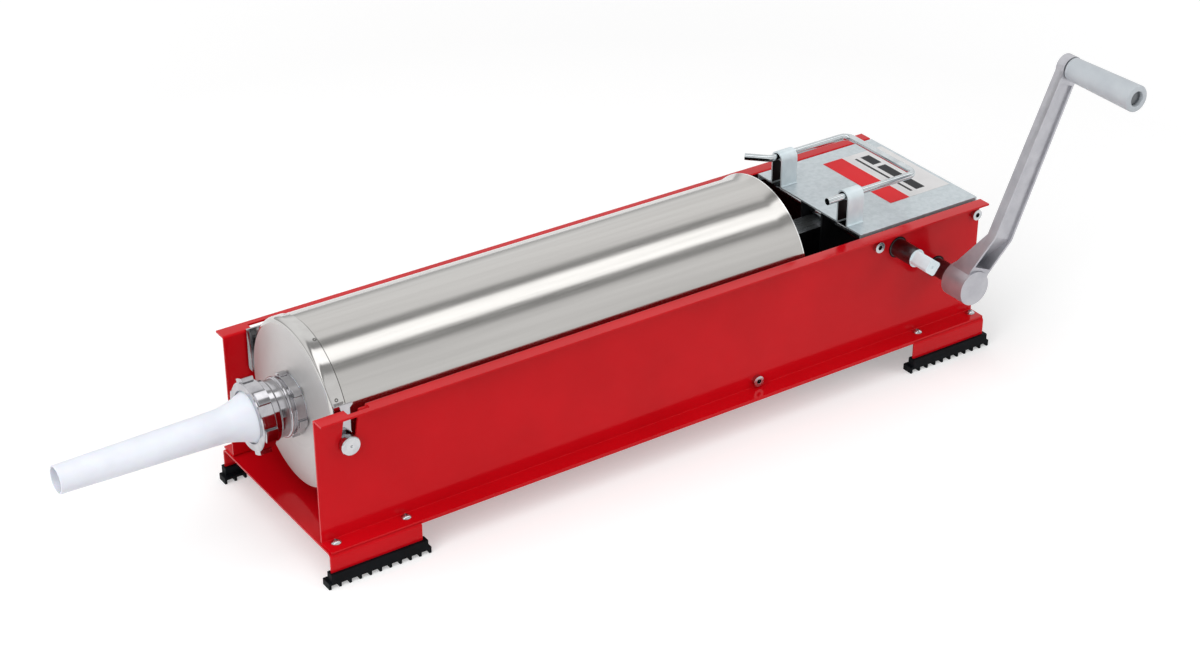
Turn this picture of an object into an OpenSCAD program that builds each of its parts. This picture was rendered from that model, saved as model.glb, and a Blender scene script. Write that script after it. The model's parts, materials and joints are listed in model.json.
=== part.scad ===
// Horizontal sausage stuffer: a sheet steel cradle that holds a filling barrel,
// a rack and piston driven through a two-shaft gearbox, and a loose crank.
// X runs from the nozzle to the gearbox, Y across the frame, Z up from the floor.
// The origin is on the floor under the middle of the frame.

/* [Barrel] */
// Outer radius of the barrel tube
barrel_r = 85; // [78:0.5:92]
// Sheet thickness of the barrel and its end cap
barrel_wall = 1; // [0.8:0.1:1.5]
// Distance from the cap's front face to the rear rim
barrel_length = 546.4; // [480:0.2:620]
// How far the rear rim flares out past the tube
rim_flare = 2.5; // [1.5:0.1:3.5]
// Length of the flared stretch
rim_flare_length = 16; // [10:1:24]
// Rounding radius around the end cap's front face
cap_bead_r = 6; // [3:0.5:9]
// Length of the end cap's skirt
cap_skirt = 14.4; // [12:0.2:20]
// Gap between the flared rim and each side wall
rim_gap = 2.5; // [1.5:0.1:5]
// Height of the tube's underside above the base plate
barrel_lift = 11.7; // [8:0.1:20]

/* [Frame] */
// Thickness of the painted steel sheet
sheet = 2; // [1.5:0.1:3]
// Inside radius of the sheet's bends
bend_r = 0.6; // [0.3:0.1:1.5]
// Height of the wall tops above the barrel axis
wall_rise = 39; // [30:0.5:60]
// Outward width of the walls' top flanges, measured from the wall's outer face
top_flange = 14; // [8:0.5:20]
// Outward width of the walls' bottom flanges
bottom_flange = 19; // [16:0.5:26]
// Distance from the frame's front edge to the cap's front face
cap_setback = 25.6; // [20:0.2:40]
// Room between the barrel's rim and the gearbox cover, where the piston parks
piston_bay = 68; // [60:1:90]
// How far the base plate sticks out past the walls at each end
base_overhang = 1.5; // [0:0.5:6]
// Length of each leg along the frame
leg_length = 98; // [70:1:130]
// Height of each leg that shows between the rubber strip and the base plate
leg_visible = 18.5; // [8:0.1:30]
// Inside radius of the bends between the base plate and its legs
leg_bend_r = 3; // [1:0.5:4]

/* [Rubber feet] */
// Whole height of a foot strip, ribs included
foot_height = 15.8; // [14:0.1:24]
// Height of the ribs under a strip
foot_rib_height = 4.2; // [3:0.1:6]
// Length of a rib along the strip
foot_rib_length = 2.6; // [2:0.1:4]
// Number of ribs under each strip
foot_ribs = 11; // [6:1:13]
// Width of the upper collar that grips the leg
foot_collar_width = 9; // [8:0.5:12]
// Width of the lower sole
foot_sole_width = 13; // [12:0.5:18]
// Height of the sole without its ribs
foot_sole_height = 3; // [2:0.1:3.5]
// How far the collar runs past each end of the leg
foot_collar_margin = 3; // [2:0.5:6]
// How far the sole runs past each end of the collar
foot_sole_margin = 3.1; // [2:0.1:6]
// How far each strip sits behind the middle of its leg
foot_shift = 1.2; // [0:0.1:2]
// How deep the leg's edge sits in the collar
foot_grip_depth = 8; // [5:0.5:9]

/* [Gears and rack] */
// Gear module
gear_module = 2; // [1.8:0.1:2.1]
// Teeth of the rack pinion and of the reduction pinion
pinion_teeth = 14; // [13:1:15]
// Teeth of the main gear
gear_teeth = 54; // [50:1:56]
// Thinning of each tooth flank, for backlash
backlash = 0.12; // [0.08:0.01:0.2]
// Face width of the main gear
gear_face = 16; // [10:1:20]
// Face width of the reduction pinion
reduction_face = 20; // [12:1:24]
// Rack width
rack_width = 29; // [20:0.5:34]
// Rack height above its pitch line
rack_rise = 28; // [20:0.5:30]
// Height of the rack's top face above the barrel axis
rack_top_rise = 17; // [10:0.5:24]
// How far the rack's tail reaches behind the crank shaft
rack_tail = 41.5; // [30:0.5:60]
// How far past the rim the piston's front face parks
park_clear = 9; // [4:0.5:14]
// Height of the reduction shaft above the crank shaft
reduction_rise = 39; // [30:0.5:44]

/* [Shafts] */
// Radius of the shafts outside the wall
shaft_r = 10; // [9:0.1:11]
// How much wider the shafts are inside the wall, in their bushes and under the main gear
journal_step = 0.5; // [0.4:0.1:1]
// Radius of the shafts' inner ends, under the pinions
seat_r = 8; // [7:0.1:8.5]
// Width and height of the keys
key_size = 5; // [4:0.5:6]
// Across-flats size of a shaft's square end
square_size = 15.5; // [12:0.1:16]
// Length of a square end
square_length = 25; // [15:0.5:35]
// How much narrower the turned corners of a square end are than the round shaft
corner_step = 0.4; // [0.3:0.05:0.8]
// Length of round shaft outside the wall, up to the square end
shaft_out = 30.5; // [20:0.5:45]
// Running gap between a shaft and its bushes
shaft_gap = 0.05; // [0.02:0.01:0.09]
// Wall thickness of a bush
bush_wall = 1.45; // [1.2:0.05:3]
// Flange width of a bush
bush_flange = 3.5; // [2:0.5:5]
// Flange thickness of a bush
bush_flange_thickness = 2; // [1:0.5:3]
// Turn of the free square end about its axis
free_square_turn = 37; // [0:1:90]

/* [Gearbox] */
// Thickness of the two inner plates
plate_thickness = 3; // [2:0.5:5]
// Gap between the rack and each inner plate
rack_side_gap = 1; // [0.5:0.1:2]
// Width of the inner plates' foot and top flanges
plate_flange = 15; // [10:0.5:20]
// Radius of the tie rods
tie_r = 5.5; // [5:0.1:6.5]
// Gap between the rack's top and the tie rods
tie_gap = 0.5; // [0.3:0.1:1.5]
// Distance from the front tie rod to the reduction shaft
tie_to_shaft = 27.8; // [26:0.1:34]
// Distance from the cover's front edge to the front tie rod
cover_to_tie = 20; // [15:0.5:30]
// Distance from the rear tie rod to the frame's back edge
tie_to_back = 6; // [6:0.5:9]
// Gap between the main gear and the frame's back edge
gear_to_back = 0.9; // [0.5:0.1:5]
// Distance of the main gear from the middle plane
gear_side = 54; // [50:1:62]
// Length of the main gear's hub on each side of its teeth
gear_hub = 10; // [5:1:12]
// Radius of the main gear's hub
gear_hub_r = 18; // [16:0.5:24]

/* [Cover and bail] */
// Thickness of the cover plate
cover_sheet = 2; // [1:0.1:3]
// How far the cover's top stands above the wall tops
cover_proud = 1; // [0.5:0.1:1.5]
// Height of the cover's sides, which are turned down along the walls
cover_lip = 8; // [5:0.5:9]
// Gap between the cover and each side wall
cover_gap = 2.6; // [1:0.1:4]
// Gap between the cover's rear edge and the frame's back edge
cover_back_gap = 1; // [0:0.5:3]
// Radius of the bail's round wire
bail_r = 3.75; // [3:0.05:4.5]
// Distance of each bail leg from the middle plane
bail_y = 57; // [54:0.5:60]
// How far each bridge's middle lies nearer the middle plane than its bail leg
bridge_shift = 1.2; // [0:0.1:1.5]
// How far the locking bail slides forward
bail_travel = 70; // [40:1:70]
// Distance from the bridges' back faces to the bail's cross bar axis
bail_back = 76.2; // [75.7:0.1:90]
// How far the near leg sticks out in front of its bridge
bail_near_out = 22; // [14:0.5:30]
// Length of the far leg's bent tail
bail_bent_tail = 24; // [15:1:30]
// Bend radius of the bail, to the wire's axis
bail_bend_r = 10; // [8:0.5:15]
// Inner width of a bridge
bridge_width = 14; // [13.5:0.1:18]
// Length of a bridge along X
bridge_length = 21; // [15:0.5:30]
// How far a bridge's feet stick out past its legs
bridge_foot = 1.5; // [1:0.1:2]
// Thickness of those feet
bridge_foot_h = 1; // [0.8:0.1:1.5]
// Clearance between the bail and what it passes
bail_clear = 0.5; // [0.4:0.1:1.5]
// Thickness of the label panel
label_thickness = 0.3; // [0.2:0.1:0.6]
// Length of the label panel along X
label_length = 82; // [40:1:84]
// Width of the label panel across the frame
label_width = 114; // [60:1:130]
// How far the label panel's middle lies off the middle plane
label_shift = 9; // [-20:0.5:20]

/* [Trunnions] */
// Distance of the trunnions behind the frame's front edge
trunnion_setback = 33.5; // [32:0.5:38]
// Height of the trunnions above the barrel axis
trunnion_rise = 3; // [0:0.5:8]
// Radius of a trunnion's shank
trunnion_r = 7; // [5:0.5:8]
// Radius of a trunnion's head
trunnion_head_r = 10; // [9:0.5:12]
// Thickness of a trunnion's head
trunnion_head = 6.5; // [4:0.5:7]
// Radius of a lug around its trunnion
lug_r = 11; // [10:0.5:13]
// How far a lug's upper end reaches in front of the trunnion
lug_front = 10.5; // [8:0.5:16]
// How far a lug's upper end reaches behind the trunnion
lug_back = 9; // [7:0.1:12]
// How far a lug's neck reaches behind the trunnion
lug_neck = 6; // [5:0.1:6.4]
// Height of the small ear behind the neck
lug_ear = 1.5; // [1:0.1:3]
// Height of the upper end's straight front edge
lug_tab = 6; // [4:0.5:14]
// How far a lug stands above the wall top
lug_rise = 2.9; // [1:0.1:4]
// Height of the stem that joins a lug to the end cap
lug_stem = 28; // [22:1:32]
// Width of the wall slot beyond the shank
slot_play = 1; // [0.4:0.1:2]
// Lean of the wall slots from the vertical
slot_tilt = 9.6; // [0:0.1:12]
// Length of the notch in the top flange
notch_length = 23; // [21:0.5:30]
// Depth of the notch, measured from the wall's outer face
notch_depth = 8; // [7:0.5:10]
// How far the notch's middle stands behind the slot's
notch_shift = 2.7; // [0:0.1:4]

/* [Nozzle] */
// How far the spigot's axis stands above the barrel's
spigot_rise = 3.2; // [0:0.1:5]
// Bore radius of the spigot
spigot_bore_r = 21; // [15:0.5:22]
// Outer radius of the spigot's neck
neck_r = 28.4; // [27:0.1:29.4]
// Outer radius of the spigot's front thread
thread_r = 30; // [29:0.5:31]
// Radius of the spigot's rear thread, through the cap
rear_thread_r = 24; // [23:0.5:25]
// Distance from the cap's face to the end of the spigot's front thread
thread_end = 27; // [24:0.5:31]
// Radius of the bead around the spigot's neck
bead_r = 1.8; // [1.2:0.1:2.4]
// Distance from the cap's face to the neck's bead
neck_bead = 15.2; // [14:0.1:18]
// Depth of the groove between the neck's bead and the collar
neck_groove = 2; // [0.5:0.1:3]
// Thickness of the gasket between the spigot and the cap
gasket_h = 1; // [0.8:0.1:2]
// Length of the spigot's collar in front of the gasket
collar_length = 9.5; // [7:0.5:10]
// Turn of the collar's small lugs
collar_lug_turn = 42; // [0:1:60]
// Distance from the cap's face to the ring nut's back face
nut_standoff = 33.6; // [28:0.2:45]
// Body radius of the ring nut
nut_r = 34; // [33:0.5:38]
// Radius over the ring nut's lugs
nut_lug_r = 37.5; // [36:0.5:41]
// Length of the ring nut
nut_length = 15; // [13:0.5:20]
// Width of each lug on the ring nut
nut_lug_width = 13; // [8:0.5:16]
// Number of lugs on the ring nut
nut_lugs = 6; // [4:1:8]
// Turn of the ring nut's lugs
nut_lug_turn = 36; // [0:1:60]
// Thickness of the ring nut's front lip
nut_lip = 3; // [2:0.5:4]
// Radial gap between the ring nut and what it goes round
nut_gap = 0.3; // [0.3:0.05:0.6]
// Tip radius of the funnel
funnel_tip_r = 13.7; // [8:0.1:16]
// Funnel radius where its cone ends and its flare starts
funnel_mid_r = 16.6; // [14:0.1:19]
// Funnel radius where it enters the nut
funnel_root_r = 25.8; // [24:0.1:26]
// Length of the funnel's cone
funnel_cone = 160; // [100:1:200]
// Length of the funnel's flare
funnel_flare = 33; // [20:1:50]
// Wall thickness of the funnel
funnel_wall = 1.8; // [1.2:0.1:2.5]

/* [Piston] */
// Gap between the end cap and the piston's front face
piston_gap = 4.4; // [4.2:0.1:8]
// Thickness of the piston's front disc
piston_disc_h = 18; // [14:0.5:24]
// Gap between the piston's disc and the barrel
piston_side_gap = 0.8; // [0.6:0.1:1.5]
// Gap between the piston's seal and the barrel
seal_gap = 0.3; // [0.3:0.05:0.5]
// Width of the piston's seal
seal_width = 7; // [4:0.5:8]
// Depth of the seal's groove
seal_depth = 5; // [3:0.5:7]
// Thickness of the piston's back plate
back_plate_h = 3; // [2:0.5:5]
// Radius of the piston's back plate
back_plate_r = 62; // [40:1:72]
// Shank radius of the piston's bolt
piston_bolt_r = 6; // [5:0.5:7]

/* [Crank] */
// Distance from the crank's hub axis to its grip axis
crank_length = 250; // [180:1:280]
// Angle of the arm above the horizontal, as it rests
crank_angle = 66.6; // [40:0.1:100]
// Hub radius
hub_r = 19; // [16:0.5:22]
// Thickness of the hub's closed front
hub_front = 5.2; // [3:0.1:8]
// Thickness of the arm past its bend
arm_depth = 11; // [9:0.5:14]
// How far the arm's front stands out past the hub's front
arm_offset = 11.3; // [6:0.1:20]
// Distance along the arm where the bend ends
arm_bend_end = 61; // [50:1:80]
// Arm width at the hub
arm_width_hub = 28; // [24:0.5:32]
// Arm width at the grip
arm_width_tip = 23; // [20:0.5:26]
// Width of each of the arm's two ribs
arm_rib = 2.4; // [1.5:0.1:4]
// Depth of the channel between the ribs
arm_channel = 2.6; // [1.5:0.1:5]
// Grip length
grip_length = 90; // [70:1:120]
// Grip radius beside the arm
grip_base_r = 12.3; // [11:0.1:14]
// Grip radius at its free end
grip_end_r = 14.2; // [12:0.1:18]
// Radius of the spindle that the grip turns on
spindle_r = 5; // [4:0.1:6]

/* [Fasteners] */
// Shank radius of the side screws
screw_r = 3; // [2.5:0.1:3.5]
// Head radius of the side screws
screw_head_r = 6; // [5:0.1:7]
// Head height of the side screws
screw_head_h = 4.5; // [3:0.5:6]
// How deep the side screws reach into the rods and the barrel rest
screw_grip = 16; // [10:1:20]
// Shank radius of the flange screws
flange_screw_r = 2; // [1.5:0.1:2.5]
// Head radius of the flange screws
flange_head_r = 5; // [4:0.1:5.5]
// Head height of the flange screws
flange_head_h = 3.2; // [2.5:0.1:4]
// Depth of the cross in their heads
flange_cross_depth = 1.5; // [1:0.1:2]
// Distance of the foremost flange screws from the frame's front edge
flange_screw_front = 11.5; // [8:0.5:14]
// Distance of the rearmost flange screws from the frame's back edge
flange_screw_back = 7; // [6:0.5:12]
// Spacing of the two flange screws over a leg
flange_screw_pitch = 75; // [50:1:80]
// Distance of the flange screws from the wall's outer face
flange_screw_out = 6.5; // [6:0.5:10]
// Thickness of the flange nuts
flange_nut_h = 3; // [2:0.5:4]

/* [Barrel rest] */
// Distance of the barrel rest behind the frame's front edge
rest_setback = 506.5; // [300:0.5:520]
// Thickness of the barrel rest along X
rest_length = 14; // [12:0.5:24]
// Height of the barrel rest's horns above the base plate
rest_height = 36; // [25:0.5:44]
// Height of its screws above the base plate
rest_screw_height = 9.7; // [8:0.1:16]

/* [Hidden] */
$fn = 72;
cut = 1;
contact = 0.02;

// Heights
base_bottom = foot_height + leg_visible;
base_top = base_bottom + sheet;
axis_z = base_top + barrel_lift + barrel_r;
wall_top = axis_z + wall_rise;
rack_top = axis_z + rack_top_rise;
pitch_line = rack_top - rack_rise;
tie_z = rack_top + tie_gap + tie_r;
trunnion_z = axis_z + trunnion_rise;
spigot_z = axis_z + spigot_rise;

// Gear sizes, with stub teeth
pinion_r = gear_module * pinion_teeth / 2;
gear_r = gear_module * gear_teeth / 2;
addendum = 0.8 * gear_module;
dedendum = gear_module;
pressure_angle = 20;
tooth_pitch = PI * gear_module;
centre_distance = pinion_r + gear_r;
crank_z = pitch_line - pinion_r;
reduction_z = crank_z + reduction_rise;
reduction_run = sqrt(centre_distance * centre_distance - reduction_rise * reduction_rise);

// Lengths along the frame
gearbox_length = cover_to_tie + tie_to_shaft + reduction_run + gear_r + addendum + gear_to_back;
frame_length = cap_setback + barrel_length + piston_bay + gearbox_length;
frame_front = -frame_length / 2;
frame_back = frame_length / 2;
cap_x = frame_front + cap_setback;
rim_x = cap_x + barrel_length;
cover_x = frame_back - gearbox_length;
crank_x = frame_back - gear_to_back - gear_r - addendum;
reduction_x = crank_x - reduction_run;
tie_front_x = cover_x + cover_to_tie;
tie_rear_x = frame_back - tie_to_back;
plate_x = cover_x + 5;
plate_length = frame_back - 3 - plate_x;
cover_length = gearbox_length - cover_back_gap;
trunnion_x = frame_front + trunnion_setback;
rest_x = frame_front + rest_setback;
piston_x = cap_x + barrel_wall + piston_gap;
piston_back_x = piston_x + piston_disc_h + back_plate_h;
stroke = rim_x + park_clear - piston_x;
rack_back = crank_x + rack_tail;

// Widths across the frame
rim_r = barrel_r + rim_flare;
wall_in = rim_r + rim_gap;
wall_out = wall_in + sheet;
cap_r = barrel_r + barrel_wall + 0.1;
lug_y = cap_r;
lug_thickness = 2;
plate_in = rack_width / 2 + rack_side_gap;
plate_out = plate_in + plate_thickness;
leg_y = wall_out + bottom_flange - sheet;
journal_r = shaft_r + journal_step;
corner_r = shaft_r - corner_step;
bush_r = journal_r + shaft_gap + bush_wall;
square_y = wall_out + shaft_out;
shaft_end_y = square_y + square_length;
hub_back_y = square_y + 0.1;
hub_front_y = shaft_end_y + 0.5 + hub_front;
arm_front_y = hub_front_y + arm_offset;
arm_back_y = arm_front_y - arm_depth;
gear_y = -gear_side;
flange_screw_y = wall_out + flange_screw_out;
flange_screw_xs = [
    frame_front + flange_screw_front, frame_front + flange_screw_front + flange_screw_pitch,
    frame_back - flange_screw_back - flange_screw_pitch, frame_back - flange_screw_back
];

// Bail heights: the wire clears the barrel's rim by bail_clear
cover_top = wall_top + cover_proud;
bail_reach = rim_r + bail_r + bail_clear;
bail_z = axis_z + sqrt(bail_reach * bail_reach - bail_y * bail_y);
bridge_r = bridge_width / 2;
bridge_y = bail_y - bridge_shift;
bridge_play = bridge_r - bail_r - bail_clear;
bridge_arch_z = bail_z - sqrt(bridge_play * bridge_play - bridge_shift * bridge_shift);
bridge_back = cover_x + bridge_length;
bail_bar_x = bridge_back + bail_back;

// Places along the nozzle, measured forward from the cap's face
nut_back_x = cap_x - nut_standoff;
nut_front_x = nut_back_x - nut_length;
funnel_flange_x = nut_front_x + nut_lip;
funnel_flange = 3;
spigot_front_x = funnel_flange_x + funnel_flange;
back_nut_h = 3;
back_thread = barrel_wall + back_nut_h + 0.6;

// Points of an arc about a centre
function arc(cx, cy, r, from, to, steps) =
    [for (i = [0 : steps]) let (a = from + (to - from) * i / steps) [cx + r * cos(a), cy + r * sin(a)]];

// Turn a shape about Z into a shape about a line along X
module along_x(x, z = axis_z) {
    translate([x, 0, z]) rotate([0, 90, 0]) children();
}

// Turn a shape about Z into a shape about a line along Y
module along_y(x, y, z) {
    translate([x, y, z]) rotate([-90, 0, 0]) children();
}

// A round bar along Y between two places
module bar_y(x, z, r, y0, y1) {
    along_y(x, y0, z) cylinder(r = r, h = y1 - y0);
}

// A ring along Y between two places
module ring_y(x, z, r_out, r_in, y0, y1) {
    difference() {
        bar_y(x, z, r_out, y0, y1);
        bar_y(x, z, r_in, y0 - cut, y1 + cut);
    }
}

// Both sides of the frame
module both_sides() {
    children();
    mirror([0, 1, 0]) children();
}

// A quarter of a sheet bend, with its centre at the origin
module sheet_bend(inner_r) {
    difference() {
        intersection() {
            circle(r = inner_r + sheet);
            square(inner_r + sheet + cut);
        }
        circle(r = inner_r);
    }
}

// Cross-section of a side wall: X is outward from its inner face, Y is height
module wall_section() {
    r = bend_r + sheet;
    translate([0, base_top + r]) square([sheet, wall_top - base_top - 2 * r]);
    translate([r, wall_top - sheet]) square([sheet + top_flange - r, sheet]);
    translate([r, wall_top - r]) rotate(90) sheet_bend(bend_r);
    translate([r, base_top]) square([sheet + bottom_flange - r, sheet]);
    translate([r, base_top + r]) rotate(180) sheet_bend(bend_r);
}

// The far side wall without its shaft holes
module wall_blank() {
    slot_w = 2 * trunnion_r + slot_play;
    notch_x = trunnion_x + (wall_top - trunnion_z) * tan(slot_tilt) + notch_shift;
    difference() {
        translate([frame_front, wall_in, 0]) rotate([90, 0, 90])
            linear_extrude(frame_length) wall_section();
        translate([trunnion_x, wall_in - cut, trunnion_z]) rotate([0, slot_tilt, 0])
            translate([-slot_w / 2, 0, slot_play / 2]) cube([slot_w, sheet + 2 * cut, wall_top]);
        bar_y(trunnion_x, trunnion_z + slot_play / 2, slot_w / 2, wall_in - cut, wall_out + cut);
        translate([notch_x - notch_length / 2, wall_in - cut, wall_top - sheet - bend_r - cut])
            cube([notch_length, sheet + cut + notch_depth, 2 * sheet + cut]);
        for (x = [tie_front_x, tie_rear_x])
            bar_y(x, tie_z, screw_r + 0.3, wall_in - cut, wall_out + cut);
        bar_y(rest_x, base_top + rest_screw_height, screw_r + 0.3, wall_in - cut, wall_out + cut);
        flange_holes();
    }
}

module side_wall_near() {
    color("crimson") difference() {
        mirror([0, 1, 0]) wall_blank();
        bar_y(crank_x, crank_z, bush_r, -wall_out - cut, -wall_in + cut);
        bar_y(reduction_x, reduction_z, bush_r, -wall_out - cut, -wall_in + cut);
    }
}

module side_wall_far() {
    color("crimson") wall_blank();
}

// Holes for the flange screws on the far side
module flange_holes() {
    for (x = flange_screw_xs)
        translate([x, flange_screw_y, base_bottom - cut])
            cylinder(r = flange_screw_r + 0.2, h = 2 * sheet + 2 * cut);
}

module base_plate() {
    length = frame_length + 2 * base_overhang;
    r = leg_bend_r + sheet;
    edge = leg_y + sheet;
    color("firebrick") {
        difference() {
            union() {
                translate([-length / 2, -edge + r, base_bottom]) cube([length, 2 * (edge - r), sheet]);
                both_sides() translate([-length / 2 + leg_length, edge - r, base_bottom])
                    cube([length - 2 * leg_length, r, sheet]);
            }
            both_sides() flange_holes();
        }
        for (x = [-length / 2, length / 2 - leg_length]) both_sides() {
            translate([x, edge - sheet, foot_height - foot_grip_depth])
                cube([leg_length, sheet, base_top - r - foot_height + foot_grip_depth]);
            translate([x, edge - r, base_top - r]) rotate([90, 0, 90])
                linear_extrude(leg_length) sheet_bend(leg_bend_r);
        }
    }
}

// A rubber strip pushed onto a leg; end is -1 in front and 1 behind, side is -1 near and 1 far
module foot_strip(end, side) {
    leg_mid = end * (frame_length / 2 + base_overhang - leg_length / 2);
    collar = leg_length + 2 * foot_collar_margin;
    sole = collar + 2 * foot_sole_margin;
    outer = leg_y + sheet / 2 + foot_collar_width / 2;
    pitch = (sole - foot_rib_length) / (foot_ribs - 1);
    color("#202225") translate([leg_mid + foot_shift, 0, 0]) scale([1, side, 1]) {
        difference() {
            union() {
                translate([-collar / 2, outer - foot_collar_width, foot_rib_height])
                    cube([collar, foot_collar_width, foot_height - foot_rib_height]);
                translate([-sole / 2, outer - foot_sole_width, foot_rib_height])
                    cube([sole, foot_sole_width, foot_sole_height]);
            }
            translate([-leg_length / 2 - foot_shift, leg_y, foot_height - foot_grip_depth])
                cube([leg_length, sheet, foot_grip_depth + cut]);
        }
        for (i = [0 : foot_ribs - 1])
            translate([-sole / 2 + i * pitch, outer - foot_sole_width, 0])
                cube([foot_rib_length, foot_sole_width, foot_rib_height]);
    }
}

module foot_front_near() { foot_strip(-1, -1); }
module foot_front_far() { foot_strip(-1, 1); }
module foot_rear_near() { foot_strip(1, -1); }
module foot_rear_far() { foot_strip(1, 1); }

module flange_screws() {
    rim = flange_head_h / 5;
    rise = flange_head_h - rim;
    dome_r = (flange_head_r * flange_head_r + rise * rise) / (2 * rise);
    dome_z = flange_head_h - dome_r;
    shank = 2 * sheet + flange_nut_h + 2;
    top_z = base_top + sheet;
    color("silver") both_sides() for (x = flange_screw_xs) translate([x, flange_screw_y, top_z]) {
        difference() {
            rotate_extrude() polygon(concat(
                [[0, 0], [flange_head_r, 0]],
                arc(0, dome_z, dome_r, asin((rim - dome_z) / dome_r), 90, 5)));
            for (turn = [0, 90]) rotate(turn)
                translate([-flange_head_r / 2, -0.5, flange_head_h - flange_cross_depth])
                cube([flange_head_r, 1, flange_cross_depth + cut]);
        }
        translate([0, 0, -shank]) cylinder(r = flange_screw_r, h = shank);
    }
}

module flange_nuts() {
    color("silver") both_sides() for (x = flange_screw_xs)
        translate([x, flange_screw_y, base_bottom - flange_nut_h]) difference() {
            cylinder(r = 2.1 * flange_screw_r, h = flange_nut_h, $fn = 6);
            translate([0, 0, -cut]) cylinder(r = flange_screw_r + contact, h = flange_nut_h + 2 * cut);
        }
}

// A socket screw on the far side, with its head on the wall
module side_screw(x, z) {
    difference() {
        union() {
            bar_y(x, z, screw_head_r, wall_out, wall_out + screw_head_h);
            bar_y(x, z, screw_r, wall_in - screw_grip, wall_out + 0.1);
        }
        along_y(x, wall_out + screw_head_h - 3, z) cylinder(r = screw_head_r * 0.48, h = 3 + cut, $fn = 6);
    }
}

module side_screws() {
    color("gainsboro") both_sides() {
        side_screw(tie_front_x, tie_z);
        side_screw(tie_rear_x, tie_z);
        side_screw(rest_x, base_top + rest_screw_height);
    }
}

module tie_rods() {
    color("silver") for (x = [tie_front_x, tie_rear_x]) difference() {
        bar_y(x, tie_z, tie_r, -wall_in, wall_in);
        both_sides() bar_y(x, tie_z, screw_r + contact, wall_in - screw_grip - 2, wall_in + cut);
    }
}

// An inner plate of the gearbox on the far side, with feet turned outward
module gearbox_plate() {
    difference() {
        translate([plate_x, plate_in, 0]) rotate([90, 0, 90]) linear_extrude(plate_length) {
            translate([0, base_top]) square([plate_thickness, cover_top - cover_sheet - base_top]);
            translate([plate_thickness, base_top]) square([plate_flange, plate_thickness]);
            translate([plate_thickness, cover_top - cover_sheet - plate_thickness])
                square([plate_flange, plate_thickness]);
        }
        for (x = [tie_front_x, tie_rear_x])
            bar_y(x, tie_z, tie_r + contact, plate_in - cut, plate_out + cut);
        bar_y(crank_x, crank_z, bush_r, plate_in - cut, plate_out + cut);
    }
}

module gearbox_plate_near() {
    color("silver") difference() {
        mirror([0, 1, 0]) gearbox_plate();
        bar_y(reduction_x, reduction_z, bush_r, -plate_out - cut, -plate_in + cut);
    }
}

module gearbox_plate_far() {
    color("silver") gearbox_plate();
}

// A bush for a shaft of radius r between y0 and y1; its flange lies past y1 if dir is 1, else before y0
module bush(x, z, r, y0, y1, dir) {
    flange_y = dir > 0 ? y1 : y0 - bush_flange_thickness;
    difference() {
        union() {
            bar_y(x, z, bush_r - contact, y0, y1);
            bar_y(x, z, bush_r + bush_flange, flange_y, flange_y + bush_flange_thickness);
        }
        bar_y(x, z, r + shaft_gap, y0 - bush_flange_thickness - cut, y1 + bush_flange_thickness + cut);
    }
}

module wall_bushes() {
    color("#3a3a3c") {
        bush(crank_x, crank_z, journal_r, -wall_out, -wall_in, 1);
        bush(reduction_x, reduction_z, journal_r, -wall_out, -wall_in, 1);
    }
}

module plate_bushes() {
    color("#3a3a3c") {
        bush(crank_x, crank_z, journal_r, -plate_out, -plate_in, -1);
        bush(crank_x, crank_z, seat_r, plate_in, plate_out, 1);
        bush(reduction_x, reduction_z, seat_r, -plate_out, -plate_in, -1);
    }
}

// Half of a tooth's angle at a radius, for a gear of n teeth
function involute(a) = tan(a) * 180 / PI - a;
function tooth_half(n, r) =
    let (rp = gear_module * n / 2, rb = rp * cos(pressure_angle))
    90 / n - backlash / rp * 180 / PI + involute(pressure_angle) - involute(acos(min(1, rb / max(r, rb))));

// Outline of a gear of n teeth, with one tooth on the X axis
module gear_outline(n) {
    rp = gear_module * n / 2;
    rb = rp * cos(pressure_angle);
    root = rp - dedendum;
    start = max(root, rb);
    tip = rp + addendum;
    steps = 4;
    radii = concat(root < rb ? [root] : [], [for (i = [0 : steps]) start + (tip - start) * i / steps]);
    last = len(radii) - 1;
    polygon([for (k = [0 : n - 1], j = [0 : 2 * last + 1])
        let (up = j <= last, r = radii[up ? j : 2 * last + 1 - j],
             a = k * 360 / n + (up ? -1 : 1) * tooth_half(n, r))
        [r * cos(a), r * sin(a)]]);
}

// A gear about a line along Y, from y0, with a tooth aimed at an angle above +X
module gear_y(x, z, n, y0, width, aim) {
    along_y(x, y0, z) rotate(-aim) linear_extrude(width) gear_outline(n);
}

// A key under a shaft of radius r, or its keyway with some play
module key_bar(x, z, r, y0, y1, play = 0) {
    translate([x - key_size / 2 - play, y0, z - r - key_size / 2 + 0.5 - play])
        cube([key_size + 2 * play, y1 - y0, key_size + 2 * play]);
}

// The square end of a shaft, turned about the shaft's axis; grow makes the socket for it
module square_end(x, z, turn, grow = 0) {
    size = square_size + 2 * grow;
    intersection() {
        bar_y(x, z, corner_r + grow, -shaft_end_y - grow, -square_y + 1);
        translate([x, 0, z]) rotate([0, turn, 0])
            translate([-size / 2, -shaft_end_y - grow - cut, -size / 2])
            cube([size, square_length + 2 + 2 * cut, size]);
    }
}

// Centre mark in a shaft's end face
module centre_mark(x, z) {
    along_y(x, -shaft_end_y - 0.01, z) cylinder(r1 = 1.8, r2 = 0.2, h = 2.4);
}

// Angle of the line from the crank shaft to the reduction shaft
mesh_angle = atan2(reduction_rise, -reduction_run);
hub_start = gear_y - gear_face / 2 - gear_hub;
hub_end = gear_y + gear_face / 2 + gear_hub;
hub_play = 0.3;
pinion_half = plate_in - hub_play;
flange_face = plate_out + bush_flange_thickness;
seat_end = gear_y - reduction_face / 2;
clip_depth = 1;
clip_width = 1.3;
clip_out = 2.5;

// A groove round a shaft of radius r for a retaining ring
module clip_groove(x, z, r, y) {
    ring_y(x, z, r + cut, r - clip_depth, y, y + clip_width + 0.2);
}

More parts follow.
